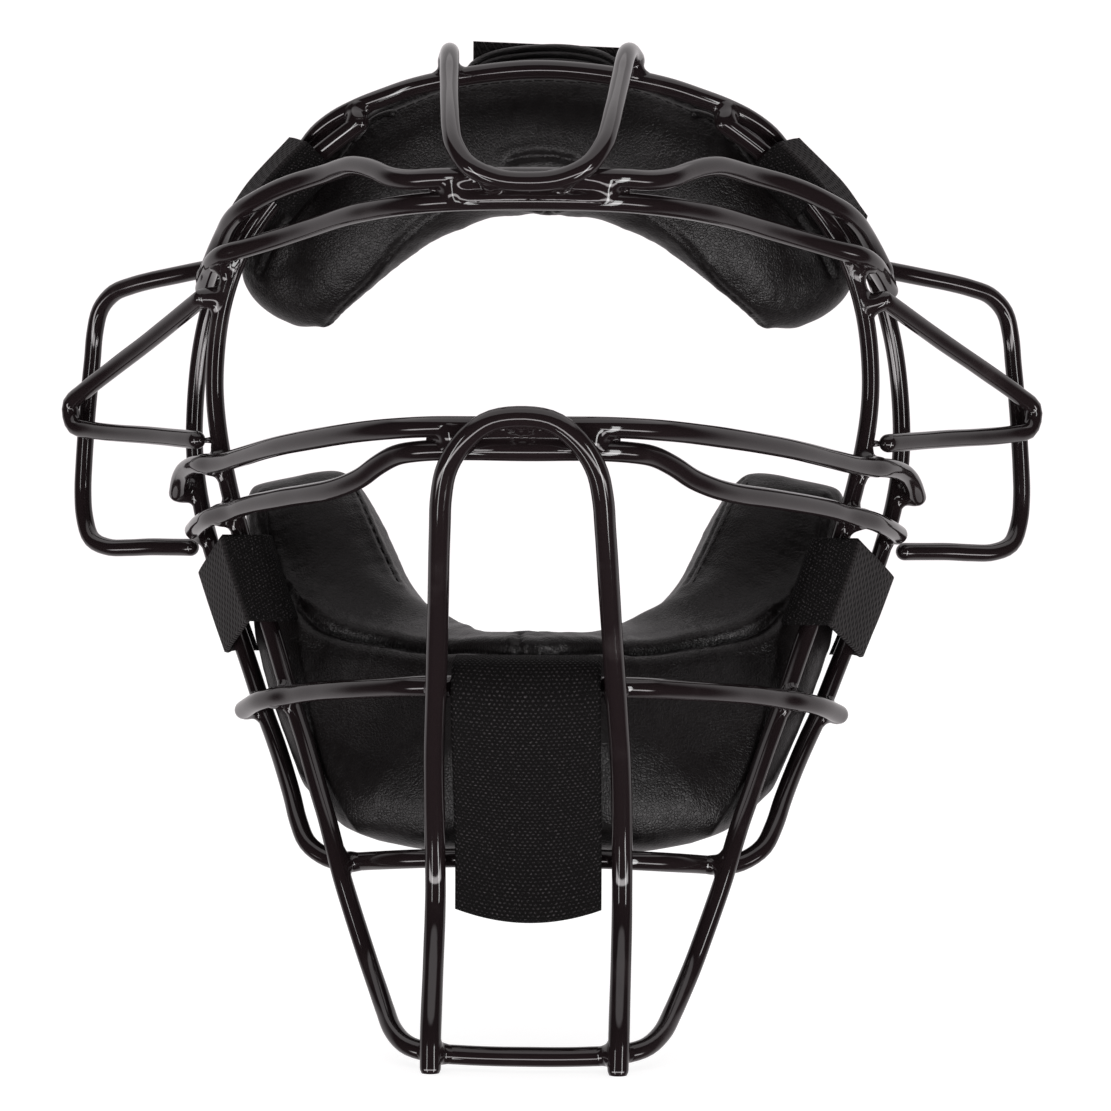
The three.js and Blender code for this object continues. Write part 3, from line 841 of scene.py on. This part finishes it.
for pad_name, pad_seams, shrink, cap in (
    ("forehead_pad", FOREHEAD_SEAMS, 0.3 * MM, 3 * MM),
    ("cheek_pad", CHEEK_SEAMS, 0.5 * MM, 4 * MM),
):
    pad_nodes = [f"{pad_name}_{layer}" for layer in ("face", "lining", "foam")]
    pad_piece = pad(pad_name + "_leather", pad_nodes, pad_seams, shrink, cap)
    finished(pad_piece, LEATHER, "leather", "frame", *pad_nodes)
    thread = stitches(pad_name + "_stitches", pad_piece.data, pad_seams)
    finished(thread, THREAD, "leather", "frame")
    if pad_name == "forehead_pad":
        for side_name, side in LEFT_RIGHT:
            tuck_line = on_surface(pad_piece.data, Seam(TEMPLE_TUCK, side))[:, :3]
            tuck = tube(f"temple_tuck_{side_name}", tuck_line, TUCK_RADIUS, TUCK_SIDES, lumps=TUCK_LUMPS)
            finished(tuck, LEATHER, "leather", "frame")

# The gathered upper edge of the forehead pad shows as wrinkled arches in front of the top tab. Their ends
# dive into the pad. In millimetres.
GATHER_FOLDS = 4
GATHER_HALF_WIDTH = 23
GATHER_DEPTH = 30.6           # the first fold's y
GATHER_HEIGHT = 133.4         # and its height at the foot of the arch, before its ends dive
GATHER_FORWARDS = 0.5         # each fold lies this far in front of the one before
GATHER_DOWN = 1.9             # and this far below it
GATHER_RISE = 4.2
GATHER_DIVE = 6               # how far the ends go down
GATHER_END_FORWARDS = 2
GATHER_POINTS = 30
GATHER_RADIUS = 1.5
GATHER_SIDES = 16
GATHER_LUMPS = 0.3
for k in range(GATHER_FOLDS):
    share = np.linspace(-1, 1, GATHER_POINTS)
    depth = GATHER_DEPTH - GATHER_FORWARDS * k - GATHER_END_FORWARDS * share**8
    height = GATHER_HEIGHT - GATHER_DOWN * k + GATHER_RISE * (1 - share**2) - GATHER_DIVE * share**8
    arch = np.column_stack([share * GATHER_HALF_WIDTH, depth, height]) * MM
    fold = tube(f"forehead_pad_gather_{k + 1}", arch, GATHER_RADIUS * MM, GATHER_SIDES, lumps=GATHER_LUMPS)
    finished(fold, LEATHER, "leather", "frame")


# ------------------------------------------------------------------ straps
STRIP_STEP = 1.2 * MM
EDGE_INSET = 0.7              # how far a strip's faces stop short of its edge, in half thicknesses
FROM_MIDDLE = 50 * MM


def strip(name, rows, thickness):
    """A closed strip about a grid of middle points: points run along it and rows lie across it.
    Returns the piece and the strip's flat size, (width, length)."""
    lengths = [np.linalg.norm(np.diff(np.array(row), axis=0), axis=1).sum() for row in rows]
    widths = np.linalg.norm(np.diff(np.array(rows), axis=0), axis=2).sum(axis=0)
    columns = max(3, round(max(lengths) / STRIP_STEP))
    lanes = max(3, round(widths.mean() / STRIP_STEP))
    smooth = [resampled(row, count=columns) for row in rows]
    grid = np.array([resampled([row[k] for row in smooth], count=lanes) for k in range(columns)])
    along = np.gradient(grid, axis=0)
    across = np.gradient(grid, axis=1)
    normal = unit(np.cross(along, across))
    half = thickness / 2
    count = columns * lanes
    u = np.r_[0, np.cumsum(np.linalg.norm(np.diff(grid[columns // 2], axis=0), axis=1))]
    v = np.r_[0, np.cumsum(np.linalg.norm(np.diff(grid[:, lanes // 2], axis=0), axis=1))]
    uvs = [(u[j], v[i]) for i in range(columns) for j in range(lanes)] * 2
    faces = [f[::-1] for f in grid_faces(columns, lanes)] + grid_faces(columns, lanes, start=count)
    border = [(0, j) for j in range(lanes - 1)]
    border += [(i, lanes - 1) for i in range(columns - 1)]
    border += [(columns - 1, j) for j in range(lanes - 1, 0, -1)]
    border += [(i, 0) for i in range(columns - 1, 0, -1)]
    inset = np.zeros_like(grid)
    for i, j in border:
        if i in (0, columns - 1):
            inset[i, j] += unit(along[i, j]) * (1 if i else -1)
        if j in (0, lanes - 1):
            inset[i, j] += unit(across[i, j]) * (1 if j else -1)
        uvs.append((u[j], v[i]))
    faces_at = [grid - inset * half * EDGE_INSET + normal * half * way for way in (1, -1)]
    verts = [point for face in faces_at for point in face.reshape(-1, 3)] + [grid[i, j] for i, j in border]
    first = 2 * count
    for k, (i, j) in enumerate(border):
        n = (k + 1) % len(border)
        i2, j2 = border[n]
        top, top2 = i * lanes + j, i2 * lanes + j2
        faces.append((top, top2, first + n, first + k))
        faces.append((first + k, first + n, count + top2, count + top))
    piece = add_mesh(name, verts, faces, uvs)
    return piece, (float(u[-1]), float(v[-1]))


def at_height(rod, height, side):
    """The point of a side of a rod at a height, well away from the middle."""
    line = ROD_LINES[rod]
    for low, high in zip(line[:-1], line[1:]):
        share = (height - low[2]) / (high[2] - low[2]) if high[2] != low[2] else -1
        if 0 <= share <= 1 and low[0] * side > FROM_MIDDLE:
            return low + share * (high - low)
    raise ValueError(f"{rod} has no point at height {height}")


def about(centre, side, outward, offsets):
    """Points about a rod at (outwards, forwards) offsets in millimetres."""
    return [centre + np.array([side * outward[0] * out, -forward, outward[1] * out]) * MM
            for out, forward in offsets]


def add_strip(name, rows, thickness, material, slot_name, body, nodes):
    piece, flat = strip(name, rows, thickness)
    finished(piece, material, slot_name, body, *nodes)


# Sections of the straps that wrap the ring and the throat wire, as (outwards, forwards) from a rod, in
# millimetres. levels are heights on the ring and on the wire.
CHEEK_STRAP = {
    "outward": (1, 0),
    "levels": [(-8, 1.5), (-20, -10), (-31, -22)],
    "round_ring": [(-3.5, -4.5), (0, -4.5), (3.5, -3.3), (4.6, 0.3)],
    "ridge": [(4.6, 3.2)],
    "flap": [(4.4, 4.6), (0, 5.6), (-4.6, 5.6), (-7, 3.6), (-7.2, -5)],
    "hooks": [(-5.55, 1.5), (-5.55, -4.6)],
    "leaf": [(-3.95, 1.5), (-3.95, -8)],
}
TEMPLE_STRAP = {
    "outward": (math.sqrt(0.5), math.sqrt(0.5)),
    "levels": [(108, 105.5), (98, 99), (88, 93)],
    "round_ring": [(0.5, -4.8), (3.6, -3), (4.6, 0.3)],
    "ridge": [(4.4, 1.6)],
    "flap": [(3.9, 3.2), (0, 4.4), (-3.4, 3.9), (-5.3, 2.2), (-5.5, -6)],
    "hooks": [(-4.1, 0.3), (-4.1, -5.5)],
    "leaf": [(-3.1, 0.3), (-3.1, -8)],
}


def add_strap_set(place, side_name, side, sizes):
    """The strap on the frame, the flap with its hooks that opens, and the leaf that takes the hooks."""
    levels = [(at_height("perimeter_ring", a * MM, side), at_height("throat_wire", b * MM, side))
              for a, b in sizes["levels"]]
    outward = sizes["outward"]
    strap = [about(ring, side, outward, sizes["round_ring"]) + about(wire, side, outward, sizes["ridge"])
             for ring, wire in levels]
    flap, hooks, leaf = ([about(wire, side, outward, sizes[part]) for _, wire in levels]
                         for part in ("flap", "hooks", "leaf"))
    flap_body = f"{place}_flap_{side_name}"
    add_strip(f"{place}_strap_{side_name}_web", strap, WEB, TWILL, "webbing", "frame",
              [f"{place}_strap_{side_name}"])
    add_strip(f"{flap_body}_web", flap, WEB, FLAP_TAPE, "webbing", flap_body, [flap_body])
    add_strip(f"{place}_hooks_{side_name}_tape", hooks, HOOK, HOOK_TAPE, "hook_tape", flap_body,
              [f"{place}_hooks_{side_name}"])
    add_strip(f"{place}_leaf_{side_name}_tape", leaf, HOOK, LOOP_TAPE, "loop_tape", "frame",
              [f"{place}_leaf_{side_name}"])


for side_name, side in LEFT_RIGHT:
    add_strap_set("cheek", side_name, side, CHEEK_STRAP)
    add_strap_set("temple", side_name, side, TEMPLE_STRAP)

# The chin flap hangs over the chin bar, and its rounded end holds to a tongue that comes under the ring.
# Profiles are (y, z) in millimetres.
FLAP_PROFILE = [
    (-47, -30), (-56, -30), (-63, -32), (-66.2, -37), (-65.8, -43), (-60.5, -54), (-53, -67),
    (-47.5, -78), (-46, -85), (-45.6, -92), (-45.6, -98),
]
TONGUE_PROFILE = [(-27, -85.5), (-32, -86.4), (-38, -87), (-41.2, -88.6), (-41.9, -92), (-41.9, -96)]
HOOKS_PROFILE = [(-43.95, -87), (-43.95, -94.5)]
TAB_PROFILE = [(33.2, 112), (33.2, 126), (33.2, 139.4)]
FLAP_CORNER = 3.5 * MM
TONGUE_CORNER = 4 * MM
TAB_TILT = 0.9 * MM
FLAP_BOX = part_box("chin_flap")
HOOKS_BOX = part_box("chin_hooks")
TONGUE_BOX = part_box("chin_tongue")
TAB_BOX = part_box("top_tab")
ACROSS = (-1, -0.85, -0.6, -0.3, 0, 0.3, 0.6, 0.85, 1)


def level_rows(profile, box, corner=0.0, tilt=0.0):
    """Rows across a level strap, each a copy of its (y, z) profile. corner rounds its free end, and tilt
    slants it."""
    half_width = (box[1][0] - box[0][0]) / 2
    last = len(profile) - 1
    return [[(share * half_width, y * MM, z * MM + (corner * share**2 - tilt * share if k == last else 0))
             for k, (y, z) in enumerate(profile)] for share in ACROSS]


add_strip("chin_flap_tape", level_rows(FLAP_PROFILE, FLAP_BOX, FLAP_CORNER), WEB, LOOP_TAPE, "loop_tape",
          "chin_flap", ["chin_flap"])
add_strip("chin_hooks_tape", level_rows(HOOKS_PROFILE, HOOKS_BOX), HOOK, HOOK_TAPE, "hook_tape",
          "chin_flap", ["chin_hooks"])
add_strip("chin_tongue_tape", level_rows(TONGUE_PROFILE, TONGUE_BOX, TONGUE_CORNER), WEB, LOOP_TAPE,
          "loop_tape", "frame", ["chin_tongue"])
add_strip("top_tab_web", level_rows(TAB_PROFILE, TAB_BOX, tilt=TAB_TILT), WEB, TWILL, "webbing",
          "frame", ["top_tab"])


# ------------------------------------------------------------------ camera, light and floor
CAMERA_DISTANCE = 0.9
CAMERA_TURN = math.radians(2.2)
CAMERA_ROLL = math.radians(0.35)
CAMERA_ASIDE = 4.7 * MM
CAMERA_HEIGHT = -3.7 * MM
CAMERA_SENSOR = 36            # millimetres, as its lens
CAMERA_LENS = 108

camera_data = bpy.data.cameras.new("camera")
camera_data.sensor_width = CAMERA_SENSOR
camera_data.lens = CAMERA_LENS
camera_data.clip_start = 0.01
camera = bpy.data.objects.new("camera", camera_data)
bpy.context.scene.collection.objects.link(camera)
right = Vector((math.cos(CAMERA_TURN), math.sin(CAMERA_TURN), 0))
backwards = Vector((math.sin(CAMERA_TURN), -math.cos(CAMERA_TURN), 0))
camera.location = backwards * CAMERA_DISTANCE + right * CAMERA_ASIDE + Vector((0, 0, CAMERA_HEIGHT))
camera.rotation_euler = (
    Matrix.Rotation(CAMERA_TURN, 4, "Z") @ Matrix.Rotation(math.pi / 2, 4, "X")
    @ Matrix.Rotation(CAMERA_ROLL, 4, "Z")).to_euler()
bpy.context.scene.camera = camera

FLOOR_HALF = 6
FLOOR_BELOW = 1 * MM          # how far the floor lies under the CAD's box
PAPER = (0.3, 0.3, 0.3)
PAPER_DARK = (0.29, 0.29, 0.29)
PAPER_LIGHT = (0.31, 0.31, 0.31)
PAPER_GLOW = 0.85

corners = ((-1, -1), (1, -1), (1, 1), (-1, 1))
floor = add_mesh("floor", [(x * FLOOR_HALF, y * FLOOR_HALF, 0) for x, y in corners], [(0, 1, 2, 3)])
floor.location.z = CAD_BOX[0][2] - FLOOR_BELOW
paper = Shader("floor_paper", PAPER, 0.9, Emission_Color=(1, 1, 1, 1), Emission_Strength=PAPER_GLOW)
floor.data.materials.append(paper.feed(Base_Color=paper.mixed(paper.noise(3), PAPER_DARK, PAPER_LIGHT)))
floor.visible_glossy = False
floor.visible_shadow = False


PANEL_AIM = (0, 0, -0.02)


def light_panel(name, place, size, radiance):
    data = bpy.data.lights.new(name, "AREA")
    data.shape = "RECTANGLE"
    data.size, data.size_y = size
    data.energy = radiance * math.pi * size[0] * size[1]
    panel = bpy.data.objects.new(name, data)
    panel.location = place
    panel.rotation_euler = (Vector(PANEL_AIM) - Vector(place)).to_track_quat("-Z", "Y").to_euler()
    panel.visible_camera = False
    bpy.context.scene.collection.objects.link(panel)


light_panel("strip_right", place=(0.62, -0.66, -0.3), size=(0.13, 1.0), radiance=11)
light_panel("strip_left", place=(-0.5, -0.75, -0.3), size=(0.1, 1.0), radiance=9)

# The studio: a wide soft box overhead, white paper behind, the bright edge of a table low in front, and
# darkness elsewhere. Each ramp runs over a part of the direction's Z or Y.
OVERHEAD_LIGHT = 1.25
BEHIND_LIGHT = 0.7
TABLE_LIGHT = 8.0
DARKNESS = 0.01
SEEN_LIGHT = 1.1              # what the camera itself sees beyond the floor: an even white
STUDIO_COLOR = (1, 0.955, 0.968, 1)

world = bpy.data.worlds.new("studio")
bpy.context.scene.world = world
world.use_nodes = True
nodes = world.node_tree.nodes
links = world.node_tree.links
direction = nodes.new("ShaderNodeSeparateXYZ")
links.new(nodes.new("ShaderNodeTexCoord").outputs["Generated"], direction.inputs[0])


def world_ramp(source, low, high, value):
    node = nodes.new("ShaderNodeMapRange")
    node.interpolation_type = "SMOOTHSTEP"
    links.new(source, node.inputs[0])
    for index, number in zip(range(1, 5), (low, high, 0, value)):
        node.inputs[index].default_value = number
    return node.outputs[0]


def world_math(operation, a, b):
    node = nodes.new("ShaderNodeMath")
    node.operation = operation
    for index, value in enumerate((a, b)):
        if isinstance(value, bpy.types.NodeSocket):
            links.new(value, node.inputs[index])
        else:
            node.inputs[index].default_value = value
    return node.outputs[0]


overhead = world_ramp(direction.outputs["Z"], 0.66, 0.76, OVERHEAD_LIGHT)
behind = world_ramp(direction.outputs["Y"], 0.1, 0.45, BEHIND_LIGHT)
above_bottom = world_ramp(direction.outputs["Z"], -0.5, -0.44, TABLE_LIGHT)
above_top = world_ramp(direction.outputs["Z"], -0.34, -0.28, TABLE_LIGHT)
in_front = world_ramp(direction.outputs["Y"], -0.2, -0.35, 1.0)
table_edge = world_math("MULTIPLY", world_math("SUBTRACT", above_bottom, above_top), in_front)
soft_light = world_math("MAXIMUM", overhead, behind)
strength = world_math("ADD", world_math("ADD", soft_light, table_edge), DARKNESS)
seen = nodes.new("ShaderNodeMix")
links.new(nodes.new("ShaderNodeLightPath").outputs["Is Camera Ray"], seen.inputs[0])
links.new(strength, seen.inputs[2])
seen.inputs[3].default_value = SEEN_LIGHT
background = nodes["Background"]
background.inputs["Color"].default_value = STUDIO_COLOR
links.new(seen.outputs[0], background.inputs["Strength"])
bpy.context.scene.view_settings.view_transform = "Standard"
